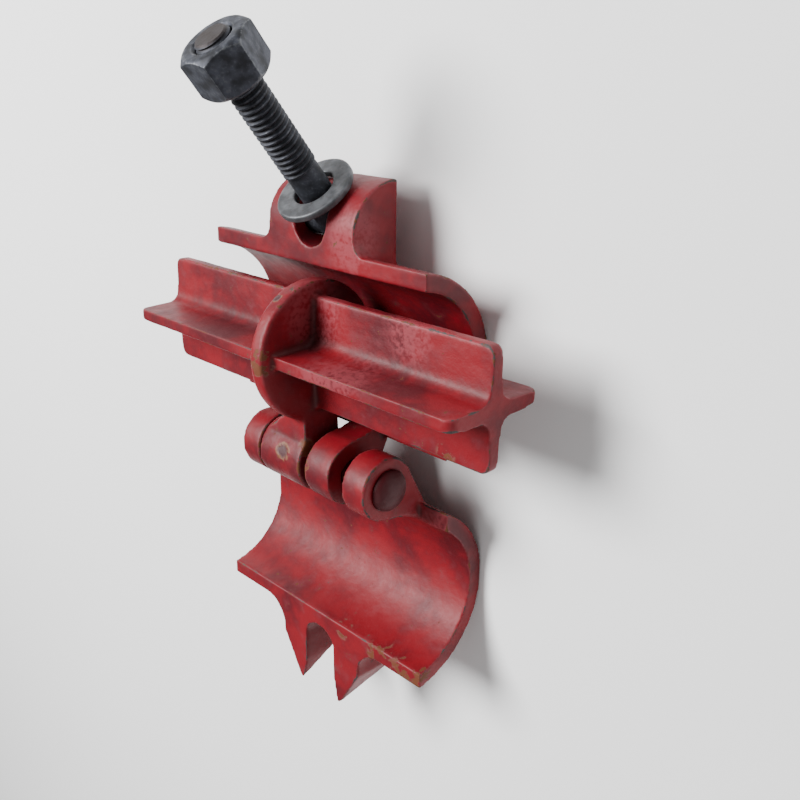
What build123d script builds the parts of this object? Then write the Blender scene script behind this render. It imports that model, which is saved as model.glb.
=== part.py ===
from build123d import *
import math
import os

# Butt-joint scaffold coupler: two malleable iron half shells on one hinge rivet, a cruciform
# core that the two tubes butt against, and a T-bolt with nut and washer. It is drawn lying
# open, backs down, as it is before it goes round the tubes.
#
# Frame: +X along the tubes, +Z up out of the open shells, +Y from the forked shell to the
# shell that carries the bolt. Origin: on the tube axis of the forked shell, at mid length.
# Each half is drawn in hinge coordinates: q is measured from the hinge pin towards the half's
# free edge, z from the parting plane, up out of the shell.

# ---------------------------------------------------------------- shells
BORE_R = 24.5            # grips a 48.3 mm scaffold tube
WALL = 5.5
SHELL_LEN = 96.0
PIN_TO_AXIS = 35.0       # hinge pin to tube axis
RIM_GAP = 3.0            # free edge stops this far short of the parting plane
HINGE_GAP = 13.0         # hinge edge stops short by more, to let the knuckles turn
OUTER_R = BORE_R + WALL

# ---------------------------------------------------------------- hinge, places along X
KNUCKLE_R = 10.0
LOWER_EARS = ((-21.0, -12.3), (27.0, 36.5))
CORE_EAR = (-12.0, 7.6)
UPPER_EAR = (10.0, 21.0)
EAR_ROOT_R = 3.2         # where an ear runs into the back of the shell
EAR_ROOT_ANGLE = 30.0
RIVET_R = 4.0
RUNNING_GAP = 0.08       # rivet in the knuckles that turn on it
RIVET_HEAD_R = 6.6
RIVET_HEAD_H = 3.6
RIVET_RIM_H = 1.3        # straight rim under the dome

# ---------------------------------------------------------------- bolt lug of the upper shell
UPPER_SHIFT = -1.1       # the upper shell sits to one side in the hinge's end play
LUG_HALF_W = 19.5
LUG_SPRING_Q = 70.0      # where the flat front face starts to curve back
LUG_TOP_Q = 85.0
LUG_BACK = 20.5
LUG_ROOT_R = 4.0

# ---------------------------------------------------------------- fork of the lower shell
FORK_TIP_Q = 91.0
FORK_SHOULDER_Q = 76.0
FORK_END_Q = 80.0        # outer end of the face that the washer bears on
FORK_BACK = 19.0
FORK_FLARE_Q = 82.5      # where the slot starts to open out, to lead the bolt in
FORK_TIP = (8.8, 10.6)   # prong tip, from and to in X
FORK_ROOT_R = 9.0

# ---------------------------------------------------------------- T-bolt, nut and washer
SLOT_R = 7.0             # U-slots that the bolt lies in
PIVOT_Q = 72.0
PIVOT_DEPTH = 13.0
BOLT_R = 5.4
BOLT_REST = 51.0         # degrees from square to the parting plane, leaning out
BOLT_STOP_GAP = 0.3
BOLT_REACH = 65.0        # pivot to the bolt's end
BOLT_CHAMFER = 1.0
HEAD_R = 5.0
HEAD_HALF_LEN = 13.0
HEAD_GAP = 0.3
HEAD_END_GAP = 0.5
NUT_FLATS = 19.0
NUT_H = 13.0
NUT_AT = 57.0            # nut's middle along the bolt
NUT_GAP = 0.05
NUT_CHAMFER = (1.0, 1.7)
WASHER_R = 12.3
WASHER_HOLE_R = 6.4
WASHER_T = 2.2
WASHER_AT = 11.5

# ---------------------------------------------------------------- core
CORE_LEN = 142.0
CORE_AT = 4.0            # disc's middle, along X
FIN_R = 17.4
FIN_TIP_T = 4.0
FIN_ROOT_T = 5.4
FIN_ROOT_ROUND = 3.5
FIN_END_ROUND = 3.0
DISC_R = 21.8
DISC_T = 5.8
DISC_EDGE = 0.8
NECK_HALF_T = 7.0        # web from the disc to the core's knuckle

BIG = 60.0               # larger than any cut


def across(section, x_from, x_to):
    """A hinge-coordinate section (q, z) carried along X."""
    return extrude(Plane.YZ.offset(x_from) * section, amount=x_to - x_from)


def box_from(q_from, q_to, z_from, z_to):
    """A rectangle in hinge coordinates, by its limits."""
    centre = Pos((q_from + q_to) / 2, (z_from + z_to) / 2)
    return centre * Rectangle(q_to - q_from, z_to - z_from)


def shell_ring():
    """Half-round body of a shell, stopped short of the parting plane on both edges."""
    ring = Pos(PIN_TO_AXIS, 0) * (Circle(OUTER_R) - Circle(BORE_R))
    ring -= box_from(PIN_TO_AXIS, PIN_TO_AXIS + BIG, -RIM_GAP, BIG)
    ring -= box_from(PIN_TO_AXIS - BIG, PIN_TO_AXIS, -HINGE_GAP, BIG)
    return across(ring, -SHELL_LEN / 2, SHELL_LEN / 2)


def ear(x_range, hole_r):
    """Knuckle round the pin, running back into the outside of the shell."""
    mid_r = OUTER_R - WALL / 2
    angle = math.radians(EAR_ROOT_ANGLE)
    root = Pos(PIN_TO_AXIS - mid_r * math.cos(angle), -mid_r * math.sin(angle)) * Circle(EAR_ROOT_R)
    outline = make_hull(Circle(KNUCKLE_R).edges() + root.edges())
    section = outline - Pos(PIN_TO_AXIS, 0) * Circle(BORE_R) - Circle(hole_r)
    return across(section, *x_range)


def u_slot(depth_to):
    """Slot that the bolt lies in, round at the bottom and open at the free edge."""
    outline = Pos(0, PIVOT_Q) * (Circle(SLOT_R) + Pos(0, BIG / 2) * Rectangle(2 * SLOT_R, BIG))
    return extrude(Plane.XY.offset(-depth_to) * outline, amount=depth_to + BIG)


def head_trough():
    """Trough that the T-head turns in, open at the back so that the bolt can be fitted."""
    trough_r = HEAD_R + HEAD_GAP
    round_seat = Pos(PIVOT_Q, -PIVOT_DEPTH) * Circle(trough_r)
    way_in = box_from(PIVOT_Q - trough_r, PIVOT_Q + trough_r, -PIVOT_DEPTH - BIG, -PIVOT_DEPTH)
    half_len = HEAD_HALF_LEN + HEAD_END_GAP
    return across(round_seat + way_in, -half_len, half_len)


def swing_room():
    """Room for the bolt to lean out, ending in the sloping wall that stops it."""
    lean = math.radians(BOLT_REST)
    along = Vector(math.sin(lean), math.cos(lean))
    back = Vector(along.Y, -along.X) * (BOLT_R + BOLT_STOP_GAP)
    pivot = Vector(PIVOT_Q, -PIVOT_DEPTH)
    stop_low = pivot + back
    stop_high = stop_low + along * BIG
    outline = Polyline(pivot, stop_low, stop_high, (PIVOT_Q, BIG), close=True)
    return across(make_face(outline), -SLOT_R, SLOT_R)


def fillet_roots(body, half_width, radius):
    """Rounds the corners where a lug's flat sides meet the round back of its shell."""
    corners = []
    for edge in body.edges():
        middle = edge @ 0.5
        on_side = abs(abs(middle.X) - half_width) < 0.05
        from_axis = math.hypot(middle.Y - PIN_TO_AXIS, middle.Z)
        if on_side and abs(from_axis - OUTER_R) < 0.05 and middle.Y > PIN_TO_AXIS:
            corners.append(edge)
    return fillet(corners, radius)


def bolt_lug():
    """Lug that carries the bolt: flat front, quarter-ellipse crown, flat sides and back."""
    crown = EllipticalCenterArc((LUG_SPRING_Q, -LUG_BACK), LUG_TOP_Q - LUG_SPRING_Q,
                                LUG_BACK - RIM_GAP, start_angle=0, arc_size=90)
    rest = Polyline(crown @ 1, (PIN_TO_AXIS, -RIM_GAP), (PIN_TO_AXIS, -LUG_BACK), crown @ 0)
    return across(make_face(crown + rest), -LUG_HALF_W, LUG_HALF_W)


def fork():
    """Forked lug: two tapering prongs with a sloping outer end and a flat back."""
    prong = [(SLOT_R, FORK_FLARE_Q), (FORK_TIP[0], FORK_TIP_Q), (FORK_TIP[1], FORK_TIP_Q),
             (LUG_HALF_W, FORK_SHOULDER_Q), (LUG_HALF_W, PIN_TO_AXIS)]
    mirrored = [(-x, q) for x, q in reversed(prong)]
    front = make_face(Polyline(mirrored + prong, close=True))
    solid = extrude(Plane.XY.offset(-FORK_BACK) * front, amount=FORK_BACK)
    outline = Polyline((PIN_TO_AXIS, -RIM_GAP), (FORK_TIP_Q, -RIM_GAP), (FORK_END_Q, -FORK_BACK),
                       (PIN_TO_AXIS, -FORK_BACK), close=True)
    return solid & across(make_face(outline), -BIG, BIG)


def clear_bore():
    """The tube's own space."""
    return across(Pos(PIN_TO_AXIS, 0) * Circle(BORE_R), -SHELL_LEN, SHELL_LEN)


def upper_shell():
    """Shell with the bolt lug, in hinge coordinates."""
    body = fillet_roots(shell_ring() + bolt_lug() - clear_bore(), LUG_HALF_W, LUG_ROOT_R)
    body = body - u_slot(PIVOT_DEPTH) - head_trough() - swing_room()
    return Pos(UPPER_SHIFT, 0, 0) * body + ear(UPPER_EAR, RIVET_R + RUNNING_GAP)


def lower_shell():
    """Shell with the fork, in hinge coordinates."""
    body = fillet_roots(shell_ring() + fork() - clear_bore(), LUG_HALF_W, FORK_ROOT_R)
    body -= u_slot(BIG)
    for x_range in LOWER_EARS:
        body += ear(x_range, RIVET_R)
    return body


def fins():
    """Four tapering fins with rounded roots and rounded outer corners."""
    half = 2 * FIN_R
    slope = (FIN_ROOT_T - FIN_TIP_T) / FIN_R
    far_t = FIN_ROOT_T - slope * half
    fin = make_face(Polyline((-FIN_ROOT_T / 2, 0), (FIN_ROOT_T / 2, 0), (far_t / 2, half),
                             (-far_t / 2, half), close=True))
    cross = fin
    for turn in (90, 180, 270):
        cross += Rot(0, 0, turn) * fin
    inner = cross.vertices().sort_by(lambda v: math.hypot(v.X, v.Y))[:4]
    cross = fillet(inner, FIN_ROOT_ROUND)
    plate = RectangleRounded(CORE_LEN, 2 * FIN_R, FIN_END_ROUND)
    plate_t = FIN_ROOT_T / 2 + FIN_ROOT_ROUND
    flat_pair = extrude(plate, amount=plate_t, both=True)
    upright_pair = extrude(Plane.XZ * plate, amount=plate_t, both=True)
    return extrude(Plane.YZ * cross, amount=CORE_LEN, both=True) & (flat_pair + upright_pair)


def core():
    """Cruciform core with its centre disc, and the ear that holds it on the rivet."""
    disc = Rot(0, 90, 0) * Cylinder(DISC_R, DISC_T)
    disc = chamfer(disc.edges(), DISC_EDGE)
    body = Pos(CORE_AT, PIN_TO_AXIS, 0) * (fins() + disc)
    knuckle = across(Circle(KNUCKLE_R), *CORE_EAR)
    shoulder_q = math.sqrt(KNUCKLE_R**2 - NECK_HALF_T**2)
    disc_q = PIN_TO_AXIS - FIN_R
    plan = make_face(Polyline((CORE_EAR[0], 0), (CORE_EAR[1], 0), (CORE_EAR[1], shoulder_q),
                              (CORE_AT + DISC_T / 2, disc_q), (CORE_AT - DISC_T / 2, disc_q),
                              (CORE_EAR[0], shoulder_q), close=True))
    neck = extrude(plan, amount=NECK_HALF_T, both=True)
    return body + knuckle + neck - across(Circle(RIVET_R + RUNNING_GAP), -BIG, BIG)


def rivet():
    """Hinge rivet with a formed dome at each end."""
    left = LOWER_EARS[0][0]
    right = LOWER_EARS[1][1]
    dome_h = RIVET_HEAD_H - RIVET_RIM_H
    sphere_r = (RIVET_HEAD_R**2 + dome_h**2) / (2 * dome_h)
    rim = Pos(0, 0, RIVET_HEAD_H / 2) * Cylinder(RIVET_HEAD_R, RIVET_HEAD_H)
    head = rim & (Pos(0, 0, RIVET_HEAD_H - sphere_r) * Sphere(sphere_r))
    shank = across(Circle(RIVET_R), left, right)
    return shank + Pos(right, 0, 0) * Rot(0, 90, 0) * head + Pos(left, 0, 0) * Rot(0, -90, 0) * head


def t_bolt():
    """T-bolt standing along +Z from its pivot."""
    head = Rot(0, 90, 0) * Cylinder(HEAD_R, 2 * HEAD_HALF_LEN)
    shank = Pos(0, 0, BOLT_REACH / 2) * Cylinder(BOLT_R, BOLT_REACH)
    shank = chamfer(shank.edges().group_by(Axis.Z)[-1], BOLT_CHAMFER)
    return head + shank


def hex_nut():
    """Hexagon nut along +Z, corners chamfered at both faces."""
    corner_r = NUT_FLATS / math.sqrt(3)
    prism = extrude(RegularPolygon(corner_r, 6), amount=NUT_H / 2, both=True)
    cone = Cylinder(corner_r, NUT_H)
    cone = chamfer(cone.edges(), *NUT_CHAMFER)
    return (prism & cone) - Cylinder(BOLT_R + NUT_GAP, 2 * NUT_H)


def flat_washer():
    """Plain washer along +Z."""
    return Cylinder(WASHER_R, WASHER_T) - Cylinder(WASHER_HOLE_R, 2 * WASHER_T)


# ---------------------------------------------------------------- placing the pieces
PIN = Pos(0, PIN_TO_AXIS, 0)
BOLT_PIVOT = Pos(UPPER_SHIFT, PIN_TO_AXIS + PIVOT_Q, -PIVOT_DEPTH)


def on_bolt(piece, distance):
    """A piece at a distance along the leaning bolt."""
    return BOLT_PIVOT * Rot(-BOLT_REST, 0, 0) * Pos(0, 0, distance) * piece


nodes = {
    "lower_shell": PIN * mirror(lower_shell(), Plane.XZ),
    "upper_shell": PIN * upper_shell(),
    "core": PIN * core(),
    "hinge_rivet": PIN * rivet(),
    "t_bolt": on_bolt(t_bolt(), 0),
    "hex_nut": on_bolt(hex_nut(), NUT_AT),
    "flat_washer": on_bolt(flat_washer(), WASHER_AT),
}

os.makedirs("parts", exist_ok=True)
for name, shape in nodes.items():
    export_step(shape, f"parts/{name}.step")
    size = shape.bounding_box().size
    print(f"{name}: {shape.volume:.0f} mm3, {size.X:.1f} x {size.Y:.1f} x {size.Z:.1f} mm")
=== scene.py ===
import math

import bpy
import mathutils
import numpy
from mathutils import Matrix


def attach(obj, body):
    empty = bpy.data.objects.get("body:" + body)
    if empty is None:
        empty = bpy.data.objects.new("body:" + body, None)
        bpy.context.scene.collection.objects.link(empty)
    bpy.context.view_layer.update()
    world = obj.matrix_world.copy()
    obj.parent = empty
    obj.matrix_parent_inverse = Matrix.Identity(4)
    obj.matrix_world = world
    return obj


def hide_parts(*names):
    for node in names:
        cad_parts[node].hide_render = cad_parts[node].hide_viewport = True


# Butt-joint scaffold coupler lying open: two painted malleable half shells and the cruciform
# core on one hinge rivet, with a T-bolt, nut and washer of blackened steel. The castings take
# their shape from the frame's own bodies, softened as a sand casting is; the fasteners are
# modelled here, each along +Z in its own frame and then laid on the leaning bolt.

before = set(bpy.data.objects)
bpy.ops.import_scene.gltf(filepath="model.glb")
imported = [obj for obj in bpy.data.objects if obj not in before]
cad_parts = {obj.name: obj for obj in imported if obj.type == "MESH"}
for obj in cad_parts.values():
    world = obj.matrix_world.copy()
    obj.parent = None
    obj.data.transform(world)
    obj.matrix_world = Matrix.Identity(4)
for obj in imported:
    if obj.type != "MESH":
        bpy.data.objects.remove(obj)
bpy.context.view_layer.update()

MM = 0.001

# ---------------------------------------------------------------- places kept from the CAD part
PIN_AT = (0, 35 * MM, 0)
BOLT_PIVOT = (-1.1 * MM, 107 * MM, -13 * MM)
BOLT_LEAN = 51.0         # degrees from square to the parting plane

# ---------------------------------------------------------------- castings
# voxel, smoothing passes, passes that find the broad form, and how far an edge and the form
# stand proud where their values reach 1
CAST_SOFTNESS = (0.6 * MM, 7, 34, 0.11 * MM, 0.5 * MM)
CAST_WAVE = 0.28 * MM
CAST_WAVE_SIZE = 7 * MM

# ---------------------------------------------------------------- T-bolt
BOLT_R = 5.35 * MM
THREAD_ROOT_R = 4.55 * MM
THREAD_PITCH = 1.75 * MM
THREAD_FROM = 20 * MM
THREAD_TO = 64.4 * MM
NECK_R = 5.0 * MM
T_HEAD_R = 5.0 * MM
T_HEAD_HALF = 13 * MM
T_HEAD_ROUND = 1.2 * MM
THREAD_CREST = 0.12      # half the crest's width, as a share of the pitch
THREAD_RUN_OUT = 1.2 * MM
THREAD_END_CHAMFER = 1.1 * MM
THREAD_STEPS = 40
NECK_WEAR = 0.35         # edge value of the plain neck, against 1 on the thread's crest

# ---------------------------------------------------------------- nut and washer
NUT_FLATS = 19.0 * MM
NUT_H = 13.0 * MM
NUT_AT = 57.0 * MM
NUT_BORE_R = 5.45 * MM
NUT_FACE_R = 9.3 * MM
NUT_CHAMFER = 1.5 * MM
NUT_BORE_LEAD = 0.9 * MM     # countersink of the bore at both faces
NUT_FACE_ROUND = (0.6 * MM, 0.25 * MM)   # turned round of a face's rim, inwards and down
NUT_TURN_ROOM = (0.2 * MM, 0.3 * MM)     # past the corners and below the chamfer
NUT_SOFTNESS = (0.22 * MM, 9, 40, 0.05 * MM, 0.16 * MM)
NUT_WAVE = 0.12 * MM
NUT_WAVE_SIZE = 3 * MM
WASHER_R = 12.3 * MM
WASHER_HOLE_R = 6.4 * MM
WASHER_T = 2.2 * MM
WASHER_AT = 11.5 * MM
WASHER_ROLL = 0.7 * MM   # rolled-over upper rim
WASHER_EDGE = 0.3 * MM
WASHER_HOLE_EDGE = 0.5 * MM
WASHER_SOFTNESS = (0.22 * MM, 3, 30, 0.05 * MM, 0.12 * MM)
WASHER_WAVE = 0.08 * MM
WASHER_WAVE_SIZE = 4 * MM

# ---------------------------------------------------------------- hinge rivet
RIVET_R = 4.0 * MM
RIVET_ENDS = (-21 * MM, 36.5 * MM)
RIVET_HEAD_R = 6.6 * MM
RIVET_HEAD_H = 3.6 * MM
RIVET_SOFTNESS = (0.3 * MM, 3, 30, 0.05 * MM, 0.2 * MM)
RIVET_WAVE = 0.25 * MM
RIVET_WAVE_SIZE = 3.5 * MM

TURN_STEPS = 72


# ================================================================ modelling
def pick(piece):
    """Makes a piece the only selected one."""
    bpy.ops.object.select_all(action="DESELECT")
    piece.select_set(True)
    bpy.context.view_layer.objects.active = piece


def modify(piece, kind, **settings):
    """Adds a modifier and applies it."""
    pick(piece)
    modifier = piece.modifiers.new(kind.lower(), kind)
    for name, setting in settings.items():
        setattr(modifier, name, setting)
    bpy.ops.object.modifier_apply(modifier=modifier.name)


def close_up(piece, gap=0.001 * MM):
    """Joins vertices that lie together and turns the faces outwards."""
    pick(piece)
    bpy.ops.object.mode_set(mode="EDIT")
    bpy.ops.mesh.select_all(action="SELECT")
    bpy.ops.mesh.remove_doubles(threshold=gap)
    bpy.ops.mesh.normals_make_consistent(inside=False)
    bpy.ops.object.mode_set(mode="OBJECT")


def drawn(name, points):
    """A line drawn by extruding one vertex from point to point, each (radius, height)."""
    bpy.ops.object.select_all(action="DESELECT")
    bpy.ops.mesh.primitive_plane_add(size=MM)
    line = bpy.context.object
    line.name = name
    bpy.ops.object.mode_set(mode="EDIT")
    bpy.ops.mesh.merge(type="CENTER")
    at = (0.0, 0.0)
    for number, point in enumerate(points):
        step = (point[0] - at[0], 0, point[1] - at[1])
        if number == 0:
            bpy.ops.transform.translate(value=step)
        else:
            bpy.ops.mesh.extrude_vertices_move(TRANSFORM_OT_translate={"value": step})
        at = point
    bpy.ops.object.mode_set(mode="OBJECT")
    return line


def turned(name, points):
    """A body turned about +Z from its half outline."""
    piece = drawn(name, points)
    bpy.ops.object.mode_set(mode="EDIT")
    bpy.ops.mesh.select_all(action="SELECT")
    bpy.ops.mesh.spin(steps=TURN_STEPS, angle=math.tau, center=(0, 0, 0), axis=(0, 0, 1))
    bpy.ops.object.mode_set(mode="OBJECT")
    close_up(piece)
    return piece


def arc(centre, radii, start, end, steps):
    """Points along an elliptical arc, in degrees."""
    turns = [math.radians(start + (end - start) * i / steps) for i in range(steps + 1)]
    return [(centre[0] + radii[0] * math.cos(t), centre[1] + radii[1] * math.sin(t)) for t in turns]


def corner(centre, radius, start, end, steps):
    """Points along a round corner, in degrees."""
    return arc(centre, (radius, radius), start, end, steps)


def cut_flat(piece, height, upwards):
    """Cuts a piece level at a height, keeps the part below or above and caps the cut."""
    pick(piece)
    bpy.ops.object.mode_set(mode="EDIT")
    bpy.ops.mesh.select_all(action="SELECT")
    bpy.ops.mesh.bisect(plane_co=(0, 0, height), plane_no=(0, 0, 1), use_fill=True,
                        clear_inner=upwards, clear_outer=not upwards)
    bpy.ops.object.mode_set(mode="OBJECT")


def lay(piece, matrix):
    """Puts a piece in its place and keeps the place in its mesh."""
    pick(piece)
    piece.matrix_world = matrix
    bpy.ops.object.transform_apply(location=True, rotation=True, scale=True)


def joined(name, pieces):
    """Several closed bodies as one piece."""
    pick(pieces[0])
    for piece in pieces[1:]:
        piece.select_set(True)
    bpy.ops.object.join()
    pieces[0].name = name
    return pieces[0]


def points_of(piece):
    """A piece's vertices as an array."""
    flat = numpy.empty(len(piece.data.vertices) * 3)
    piece.data.vertices.foreach_get("co", flat)
    return flat.reshape(-1, 3)


def drop(piece):
    """Removes a helper piece."""
    bpy.data.objects.remove(piece, do_unlink=True)


def twin(piece):
    """A copy with its own mesh."""
    copy = bpy.data.objects.new(piece.name + "_twin", piece.data.copy())
    bpy.context.scene.collection.objects.link(copy)
    return copy


def proud_by(piece, passes):
    """How far each vertex stands proud of the surface smoothed by so many passes."""
    soft = twin(piece)
    modify(soft, "SMOOTH", factor=0.5, iterations=passes)
    moved = points_of(piece) - points_of(soft)
    drop(soft)
    normals = numpy.empty(len(piece.data.vertices) * 3)
    piece.data.vertex_normals.foreach_get("vector", normals)
    return (moved * normals.reshape(-1, 3)).sum(axis=1)


def keep_values(piece, name, values):
    """Stores one number per vertex for the materials."""
    held = piece.data.attributes.new(name, "FLOAT", "POINT")
    held.data.foreach_set("value", values)


def soften(piece, voxel, passes, reach, edge_full, form_full):
    """Remeshes a piece evenly, rounds its edges, and marks where they stand proud."""
    modify(piece, "REMESH", mode="VOXEL", voxel_size=voxel)
    modify(piece, "SMOOTH", factor=0.5, iterations=passes)
    keep_values(piece, "edge", proud_by(piece, passes) / edge_full)
    keep_values(piece, "form", proud_by(piece, reach) / form_full)


def wave(piece, depth, size):
    """Works slight hollows into a surface, which never stands proud of where it was."""
    clouds = bpy.data.textures.new(piece.name + "_wave", "CLOUDS")
    clouds.noise_scale = size
    clouds.noise_depth = 2
    modify(piece, "DISPLACE", texture=clouds, texture_coords="LOCAL", strength=depth, mid_level=1.0)


def smooth_shaded(piece, angle=None):
    """Shades a piece smooth, all over or up to an angle."""
    pick(piece)
    if angle is None:
        bpy.ops.object.shade_smooth()
    else:
        bpy.ops.object.shade_smooth_by_angle(angle=math.radians(angle))


def fit(piece, node, body):
    """Puts a finished piece in the frame in place of its CAD node."""
    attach(piece, body)
    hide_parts(node)


# ---------------------------------------------------------------- pieces
def casting(name, node):
    """A cast body: the frame's shape with soft edges and a slightly uneven skin."""
    piece = bpy.data.objects.new(name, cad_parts[node].data.copy())
    bpy.context.scene.collection.objects.link(piece)
    piece.data.materials.clear()
    close_up(piece)
    soften(piece, *CAST_SOFTNESS)
    wave(piece, CAST_WAVE, CAST_WAVE_SIZE)
    smooth_shaded(piece)
    return piece


def thread():
    """The threaded end of the bolt, cut level and chamfered at its end."""
    crest = THREAD_CREST * THREAD_PITCH
    one_turn = [(THREAD_ROOT_R, 0), (BOLT_R, 0.5 * THREAD_PITCH - crest),
                (BOLT_R, 0.5 * THREAD_PITCH + crest), (THREAD_ROOT_R, THREAD_PITCH)]
    piece = drawn("thread", one_turn)
    turns = math.ceil((THREAD_TO - THREAD_FROM) / THREAD_PITCH) + 2
    modify(piece, "SCREW", axis="Z", screw_offset=THREAD_PITCH, iterations=turns,
           steps=THREAD_STEPS, render_steps=THREAD_STEPS, use_merge_vertices=True, merge_threshold=0.001 * MM)
    lay(piece, mathutils.Matrix.Translation((0, 0, THREAD_FROM - THREAD_PITCH)))
    cut_flat(piece, THREAD_FROM, True)
    cut_flat(piece, THREAD_TO, False)
    close_up(piece)
    low = THREAD_FROM - MM
    end = turned("end_chamfer", [(0, low), (2 * BOLT_R, low), (2 * BOLT_R, THREAD_TO - 2 * MM),
                                 (BOLT_R, THREAD_TO - THREAD_END_CHAMFER),
                                 (THREAD_ROOT_R - 0.2 * MM, THREAD_TO), (0, THREAD_TO)])
    modify(piece, "BOOLEAN", operation="INTERSECT", solver="EXACT", object=end)
    drop(end)
    return piece


def t_bolt():
    """Forged T-bolt: round cross head, plain neck and threaded end."""
    ends = corner((T_HEAD_R - T_HEAD_ROUND, T_HEAD_ROUND - T_HEAD_HALF), T_HEAD_ROUND, -90, 0, 4)
    head = turned("cross_head", [(0, -T_HEAD_HALF)] + ends + [(r, -z) for r, z in reversed(ends)]
                  + [(0, T_HEAD_HALF)])
    lay(head, mathutils.Matrix.Rotation(math.radians(90), 4, "Y"))
    neck_top = THREAD_FROM + THREAD_RUN_OUT
    neck = turned("neck", [(0, 0), (NECK_R, 0), (NECK_R, THREAD_FROM - THREAD_RUN_OUT),
                           (THREAD_ROOT_R - 0.05 * MM, neck_top), (0, neck_top)])
    screw = thread()
    piece = joined("bolt_forging", [head, neck, screw])
    at = points_of(piece)
    from_axis = numpy.hypot(at[:, 0], at[:, 1])
    on_thread = at[:, 2] > THREAD_FROM
    crest = (from_axis - THREAD_ROOT_R) / (BOLT_R - THREAD_ROOT_R)
    keep_values(piece, "edge", numpy.where(on_thread, crest, NECK_WEAR))
    keep_values(piece, "form", numpy.where(on_thread, crest - 0.8, 0.0))
    smooth_shaded(piece, 35)
    return piece


def hex_nut():
    """Hexagon nut: corners turned off at both faces, chamfered bore, worn soft edges."""
    corner_r = NUT_FLATS / math.sqrt(3)
    half = NUT_H / 2
    face_in, face_down = NUT_FACE_ROUND
    past_corner, below_chamfer = NUT_TURN_ROOM
    widest = corner_r + past_corner
    upper = [(NUT_BORE_R, 0), (NUT_BORE_R, half - NUT_BORE_LEAD), (NUT_BORE_R + NUT_BORE_LEAD, half),
             (NUT_FACE_R - face_in, half), (NUT_FACE_R, half - face_down),
             (widest, half - NUT_CHAMFER - below_chamfer), (widest, 0)]
    lower = [(r, -z) for r, z in reversed(upper[:-1])]
    blank = turned("turned_blank", upper + lower)
    bpy.ops.object.select_all(action="DESELECT")
    bpy.ops.mesh.primitive_cylinder_add(vertices=6, radius=corner_r, depth=NUT_H)
    piece = bpy.context.object
    piece.name = "hexagon_nut"
    lay(piece, mathutils.Matrix.Rotation(math.radians(30), 4, "Z"))
    modify(piece, "BOOLEAN", operation="INTERSECT", solver="EXACT", object=blank)
    drop(blank)
    soften(piece, *NUT_SOFTNESS)
    wave(piece, NUT_WAVE, NUT_WAVE_SIZE)
    smooth_shaded(piece)
    return piece


def flat_washer():
    """Punched washer with a rolled-over upper edge."""
    half = WASHER_T / 2
    outer_low = corner((WASHER_R - WASHER_EDGE, WASHER_EDGE - half), WASHER_EDGE, -90, 0, 3)
    outer_top = corner((WASHER_R - WASHER_ROLL, half - WASHER_ROLL), WASHER_ROLL, 0, 90, 6)
    inner_top = corner((WASHER_HOLE_R + WASHER_HOLE_EDGE, half - WASHER_HOLE_EDGE),
                       WASHER_HOLE_EDGE, 90, 180, 4)
    outline = [(WASHER_HOLE_R, -half)] + outer_low + outer_top + inner_top
    piece = turned("plain_washer", outline + outline[:1])
    soften(piece, *WASHER_SOFTNESS)
    wave(piece, WASHER_WAVE, WASHER_WAVE_SIZE)
    smooth_shaded(piece)
    return piece


def hinge_rivet():
    """Hinge rivet with a dome formed at each end."""
    dome = arc((0, RIVET_ENDS[1]), (RIVET_HEAD_R, RIVET_HEAD_H), 0, 90, 14)
    foot = arc((0, RIVET_ENDS[0]), (RIVET_HEAD_R, RIVET_HEAD_H), -90, 0, 14)
    shank = [(RIVET_R, RIVET_ENDS[0]), (RIVET_R, RIVET_ENDS[1])]
    piece = turned("formed_rivet", foot + shank + dome)
    lay(piece, mathutils.Matrix.Translation(PIN_AT) @ mathutils.Matrix.Rotation(math.radians(90), 4, "Y"))
    soften(piece, *RIVET_SOFTNESS)
    wave(piece, RIVET_WAVE, RIVET_WAVE_SIZE)
    smooth_shaded(piece)
    return piece


# ================================================================ materials
class Wire:
    """A socket in a material's node tree. Arithmetic on it adds Math nodes."""

    def __init__(self, tree, socket=None):
        self.tree = tree
        self.socket = socket

    def node(self, kind, settings, sockets, output=0):
        """Adds a node: its settings first, then the values or links of its sockets."""
        made = self.tree.nodes.new(kind)
        for name, setting in settings.items():
            setattr(made, name, setting)
        for name, given in sockets.items():
            if isinstance(given, Wire):
                self.tree.links.new(given.socket, made.inputs[name])
            else:
                made.inputs[name].default_value = given
        return Wire(self.tree, made.outputs[output])

    def maths(self, operation, *values):
        return self.node("ShaderNodeMath", {"operation": operation}, dict(enumerate(values)))

    def __add__(self, other):
        return self.maths("ADD", self, other)

    __radd__ = __add__

    def __sub__(self, other):
        return self.maths("SUBTRACT", self, other)

    def __rsub__(self, other):
        return self.maths("SUBTRACT", other, self)

    def __mul__(self, other):
        return self.maths("MULTIPLY", self, other)

    __rmul__ = __mul__


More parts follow.
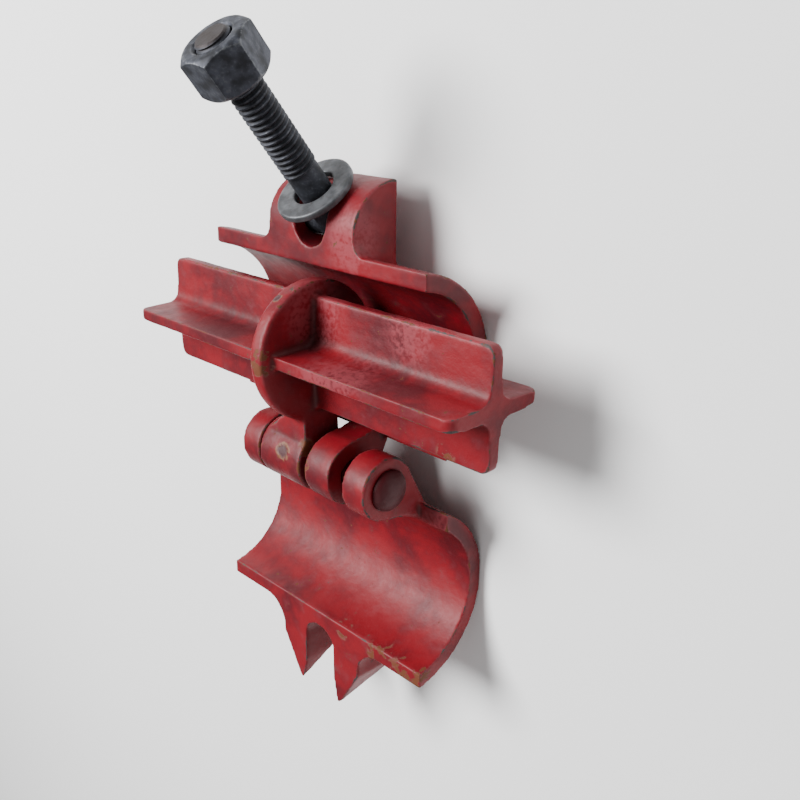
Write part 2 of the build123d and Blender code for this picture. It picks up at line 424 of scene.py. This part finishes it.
class Finish:
    """A material being mixed: its patterns, its masks and its shader."""

    def __init__(self, name):
        self.material = bpy.data.materials.new(name)
        self.material.use_nodes = True
        tree = self.material.node_tree
        self.shader = tree.nodes["Principled BSDF"]
        self.wire = Wire(tree)
        self.place = self.wire.node("ShaderNodeTexCoord", {}, {}, "Object")

    def noise(self, size, detail):
        """Soft noise from 0 to 1, with spots of about this size in metres."""
        return self.wire.node("ShaderNodeTexNoise", {}, {
            "Vector": self.place, "Scale": 1 / size, "Detail": detail})

    def held(self, name):
        """A value stored on the mesh."""
        return self.wire.node("ShaderNodeAttribute", {"attribute_name": name}, {}, "Fac")

    def rise(self, value, low, high):
        """0 below low, 1 above high and smooth between."""
        return self.wire.node("ShaderNodeMapRange", {"interpolation_type": "SMOOTHSTEP"}, {
            "Value": value, "From Min": low, "From Max": high})

    def away_from(self, centre):
        """Distance from a place on the piece, which is given in millimetres."""
        return self.wire.node("ShaderNodeVectorMath", {"operation": "DISTANCE"}, {
            0: self.place, 1: [c * MM for c in centre]}, "Value")

    def near(self, centre, radius, blur):
        """1 round a place on the piece, all in millimetres, fading over blur."""
        return 1 - self.rise(self.away_from(centre), (radius - blur) * MM, (radius + blur) * MM)

    def blend(self, mask, under, over):
        """One colour laid over another where the mask is 1."""
        return self.wire.node("ShaderNodeMix", {"data_type": "RGBA"}, {0: mask, 6: under, 7: over}, 2)

    def set(self, **links):
        """Feeds the shader's sockets."""
        for name, given in links.items():
            socket = self.shader.inputs[name.replace("_", " ")]
            if isinstance(given, Wire):
                self.wire.tree.links.new(given.socket, socket)
            else:
                socket.default_value = given

    def bump(self, height, distance):
        """Small relief, in metres at height 1."""
        relief = self.wire.node("ShaderNodeBump", {}, {
            "Height": height, "Strength": 1.0, "Distance": distance})
        self.set(Normal=relief)


def colour(red, green, blue):
    return (red, green, blue, 1.0)


# linear colours
PAINT = colour(0.176, 0.0042, 0.0092)
PAINT_DEEP = colour(0.070, 0.0030, 0.0070)
PAINT_CHALKED = colour(0.235, 0.036, 0.046)
PAINT_THIN = colour(0.15, 0.042, 0.034)
# dark grime that darkens the rivet's paint, and also the colour of painted shade in the castings' hollows
GRIME_AND_SHADE = colour(0.020, 0.006, 0.006)
BARE_IRON = colour(0.072, 0.060, 0.060)
RUST = colour(0.110, 0.032, 0.012)
SCAR_RIM = colour(0.17, 0.070, 0.035)
SCAR_CORE = colour(0.052, 0.016, 0.018)
BLACKED = colour(0.030, 0.033, 0.044)
# the blackened steel made lighter for the nut: a painted reflection of the surround on its faces
BLACKED_NUT_PAINTED_SHEEN = colour(0.046, 0.050, 0.066)
BLACKED_DEEP = colour(0.012, 0.013, 0.017)
BLACKED_WORN = colour(0.085, 0.088, 0.098)
STEEL_GREY = colour(0.125, 0.13, 0.14)
STEEL_DULL = colour(0.055, 0.057, 0.062)
STEEL_STAIN = colour(0.075, 0.048, 0.032)
HOLLOW_DARK = colour(0.030, 0.018, 0.012)
STEEL_BRIGHT = colour(0.34, 0.33, 0.31)


def worn_paint(name, relief_depth, deep=0.0, bare_spots=(), rust_spots=(), chalk_spots=(), scars=()):
    """Brick-red paint over cast iron: chalked and thin on edges, chipped, and darkened in corners and hollows
    as painted shade.
    """
    f = Finish(name)
    broad = f.noise(26 * MM, 3.0)
    mottle = f.noise(5 * MM, 5.0)
    speck = f.noise(1.3 * MM, 3.0)
    grain = f.noise(0.45 * MM, 2.0)
    edge = f.held("edge")
    form = f.held("form")

    base = f.blend(f.rise(broad + (mottle - 0.5) * 0.5, 0.35, 0.7), PAINT, PAINT_DEEP)
    base = f.blend(f.rise(mottle, 0.52, 0.78) * 0.32, base, PAINT_CHALKED)
    base = f.blend(deep, base, PAINT_DEEP)
    base = f.blend(deep * 0.35, base, GRIME_AND_SHADE)
    chalk = f.rise(edge + (mottle - 0.5) * 1.2, 0.25, 1.0)
    for centre, radius in chalk_spots:
        chalk = chalk + f.near(centre, radius, radius * 0.6) * f.rise(speck + mottle * 0.6, 0.5, 0.95) * 1.4
    base = f.blend(f.rise(chalk, 0.0, 1.4) * 0.75, base, PAINT_CHALKED)
    # painted shade: the paint darkens where the surface is hollow, in corners, recesses and round the hinge
    painted_hollow_shade = f.rise((0 - form) * 1.5 + (mottle - 0.5) * 0.7, 0.08, 0.75)
    base = f.blend(painted_hollow_shade * 0.55, base, GRIME_AND_SHADE)

    rubbed = f.rise(edge * 0.8 + (mottle - 0.5) * 1.7 + (speck - 0.5) * 0.7, 0.62, 0.85)
    stray = f.rise(mottle * 0.5 + speck * 0.5, 0.635, 0.67)
    chipped = rubbed + stray * 0.7
    for centre, radius in bare_spots:
        chipped = chipped + f.near(centre, radius, radius * 0.6) * f.rise(mottle + speck * 0.5, 0.70, 0.84)
    chipped = f.rise(chipped, 0.1, 0.9)
    rust = f.rise(broad * 0.6 + speck * 0.6, 0.5, 0.75)
    for centre, radius in rust_spots:
        rusted = f.near(centre, radius, radius * 0.7) * f.rise(mottle + speck * 0.4, 0.66, 0.80)
        chipped = f.rise(chipped + rusted, 0.0, 1.0)
        rust = f.rise(rust + rusted, 0.0, 1.0)
    bare = f.blend(rust, BARE_IRON, RUST)
    base = f.blend(f.rise(chipped, 0.0, 0.35), base, PAINT_THIN)
    base = f.blend(f.rise(chipped, 0.25, 0.8), base, bare)
    dent = 0 * edge
    for centre, radius in scars:
        ragged = f.away_from(centre) + (mottle - 0.5) * (radius * MM)
        core = 1 - f.rise(ragged, 0.5 * radius * MM, 0.85 * radius * MM)
        halo = (1 - f.rise(ragged, 0.8 * radius * MM, radius * MM)) * f.rise(speck, 0.38, 0.55)
        base = f.blend(halo, base, SCAR_RIM)
        base = f.blend(core, base, SCAR_CORE)
        dent = dent + core

    f.set(Specular_IOR_Level=0.26, Base_Color=base,
          Roughness=0.36 + 0.16 * mottle + 0.12 * speck + 0.18 * chipped,
          Metallic=0.45 * f.rise(chipped - rust, 0.2, 0.9))
    relief = mottle * 0.55 + speck * 0.32 + grain * 0.1 - f.rise(chipped, 0.1, 0.6) * 0.28 - dent * 0.8
    f.bump(relief, relief_depth)
    return f.material


def blackened(name, tone_and_sheen, worn_from, rubbed_to):
    """Oil-blackened steel, rubbed grey on its edges and darker in its hollows; a lighter tone given to it, as
    for the nut, is a painted reflection.
    """
    f = Finish(name)
    mottle = f.noise(3.2 * MM, 4.0)
    speck = f.noise(0.8 * MM, 3.0)
    edge = f.held("edge")
    form = f.held("form")
    # the tone given is the steel's own for the bolt, and a painted reflection for the nut
    base = f.blend(f.rise(mottle, 0.3, 0.65), BLACKED_DEEP, tone_and_sheen)
    base = f.blend(f.rise(speck * 0.5 + mottle * 0.5, 0.5, 0.7) * 0.55, base, BLACKED_WORN)
    # darker brown where the surface is hollow, such as the roots of the thread
    hollow_darkening = f.rise((0 - form) + (mottle - 0.5), 0.2, 1.0)
    base = f.blend(hollow_darkening * 0.6, base, HOLLOW_DARK)
    rubbed = f.rise(edge + (mottle - 0.5) * 1.0 + (speck - 0.5) * 0.8, worn_from, worn_from + 0.5)
    base = f.blend(rubbed * rubbed_to, base, STEEL_GREY)
    f.set(Base_Color=base, Metallic=0.55 + 0.35 * rubbed, Roughness=0.52 + 0.2 * speck - 0.14 * rubbed)
    f.bump(mottle * 0.5 + speck * 0.5, 0.10 * MM)
    return f.material


def dull_steel(name):
    """Plain washer steel gone grey, bright where it has been rubbed."""
    f = Finish(name)
    mottle = f.noise(4 * MM, 4.0)
    speck = f.noise(0.7 * MM, 3.0)
    edge = f.held("edge")
    base = f.blend(f.rise(mottle, 0.35, 0.7), STEEL_DULL, STEEL_GREY)
    base = f.blend(f.rise(speck, 0.55, 0.75) * 0.4, base, STEEL_STAIN)
    rubbed = f.rise(edge + (mottle - 0.5) * 0.8, 0.35, 0.95)
    base = f.blend(rubbed * 0.8, base, STEEL_BRIGHT)
    f.set(Base_Color=base, Metallic=0.6, Roughness=0.42 + 0.2 * speck)
    f.bump(mottle * 0.4 + speck * 0.6, 0.08 * MM)
    return f.material


# ================================================================ camera, floor and lights
LENS = 41.866
EYE = (0.21092, 0.15253, 0.16918)
TILT = (-19.505, 45.431, 1.074)
FLOOR_Z = -30 * MM


def set_camera():
    """The camera looks down on the open clamp from its +X end."""
    data = bpy.data.cameras.new("camera")
    data.lens = LENS
    data.sensor_width = 36
    data.clip_start = 0.01
    camera = bpy.data.objects.new("camera", data)
    bpy.context.scene.collection.objects.link(camera)
    camera.location = EYE
    camera.rotation_euler = [math.radians(angle) for angle in TILT]
    bpy.context.scene.camera = camera


def area_light(name, place, aim, size, power):
    """A soft round light aimed at a point."""
    data = bpy.data.lights.new(name, "AREA")
    data.shape = "DISK"
    data.size = size
    data.energy = power
    light = bpy.data.objects.new(name, data)
    bpy.context.scene.collection.objects.link(light)
    light.location = place
    way = mathutils.Vector(aim) - mathutils.Vector(place)
    light.rotation_euler = way.to_track_quat("-Z", "Y").to_euler()


def studio():
    """A pale floor, an even white surround and two soft lights."""
    bpy.ops.object.select_all(action="DESELECT")
    bpy.ops.mesh.primitive_plane_add(size=6, location=(0, 0, FLOOR_Z))
    floor = bpy.context.object
    floor.name = "floor"
    f = Finish("pale_floor")
    cloudy = f.noise(400 * MM, 2.0)
    f.set(Base_Color=f.blend(cloudy, colour(0.88, 0.88, 0.88), colour(0.92, 0.92, 0.92)), Roughness=0.9)
    floor.data.materials.append(f.material)
    world = bpy.context.scene.world or bpy.data.worlds.new("world")
    bpy.context.scene.world = world
    world.use_nodes = True
    sky = world.node_tree.nodes["Background"]
    sky.inputs["Color"].default_value = (1, 1, 1, 1)
    sky.inputs["Strength"].default_value = 0.32
    area_light("key", (-0.40, 0.42, 0.80), (0, 0.03, 0), 0.55, 26)
    area_light("fill", (0.6, -0.5, 0.7), (0, 0.03, 0), 0.8, 2.2)


# ================================================================ the coupler
set_camera()
studio()

# places are in millimetres on the pieces at rest, each with the radius of the worn patch
shell_paint = worn_paint(
    "shell_paint", 0.16 * MM,
    bare_spots=(((10.3, 37.5, 9.4), 2.0), ((40.0, 25.5, -9.0), 3.0)),
    rust_spots=(((44.0, -27.0, -3.1), 7.0), ((30.0, -27.0, -3.1), 5.0), ((12.0, -26.0, -4.0), 3.0)),
    chalk_spots=(((10.0, 13.0, -11.0), 7.0), ((17.0, 104.0, -3.5), 9.0), ((42.0, 24.0, -10.0), 6.0)))
core_paint = worn_paint(
    "core_paint", 0.26 * MM,
    scars=(((-1.0, 38.0, 9.3), 3.4), ((3.1, 87.7, 12.4), 1.7)),
    bare_spots=(((3.1, 89.0, 9.5), 2.8), ((-60.0, 86.2, 1.9), 1.8)),
    rust_spots=(((5.1, 71.4, 21.6), 5.0), ((60.0, 54.0, 5.0), 4.0), ((7.6, 41.0, 6.5), 2.5)),
    chalk_spots=(((8.7, 82.0, 2.1), 10.0), ((46.2, 84.1, 2.0), 8.0), ((30.0, 70.0, 15.0), 12.0)))
rivet_paint = worn_paint("rivet_paint", 0.2 * MM, deep=1.0)
bolt_black = blackened("bolt_black", BLACKED, 0.85, 0.25)
# the nut takes the lighter tone, a painted reflection on its faces
nut_black = blackened("nut_black", BLACKED_NUT_PAINTED_SHEEN, 0.2, 0.8)
washer_grey = dull_steel("washer_grey")

for name, node, body, finish, slot in (
        ("forked_half", "lower_shell", "lower_half", shell_paint, "shell_paint"),
        ("bolt_half", "upper_shell", "upper_half", shell_paint, "shell_paint"),
        ("cruciform_core", "core", "core", core_paint, "core_paint")):
    piece = casting(name, node)
    piece.data.materials.append(finish)
    fit(piece, node, body)

ON_BOLT = (mathutils.Matrix.Translation(BOLT_PIVOT)
           @ mathutils.Matrix.Rotation(-math.radians(BOLT_LEAN), 4, "X"))
for make, along, node, body, finish, slot in (
        (t_bolt, 0, "t_bolt", "bolt", bolt_black, "bolt_steel"),
        (hex_nut, NUT_AT, "hex_nut", "nut", nut_black, "nut_steel"),
        (flat_washer, WASHER_AT, "flat_washer", "washer", washer_grey, "washer_steel")):
    piece = make()
    lay(piece, ON_BOLT @ mathutils.Matrix.Translation((0, 0, along)))
    piece.data.materials.append(finish)
    fit(piece, node, body)

piece = hinge_rivet()
piece.data.materials.append(rivet_paint)
fit(piece, "hinge_rivet", "lower_half")
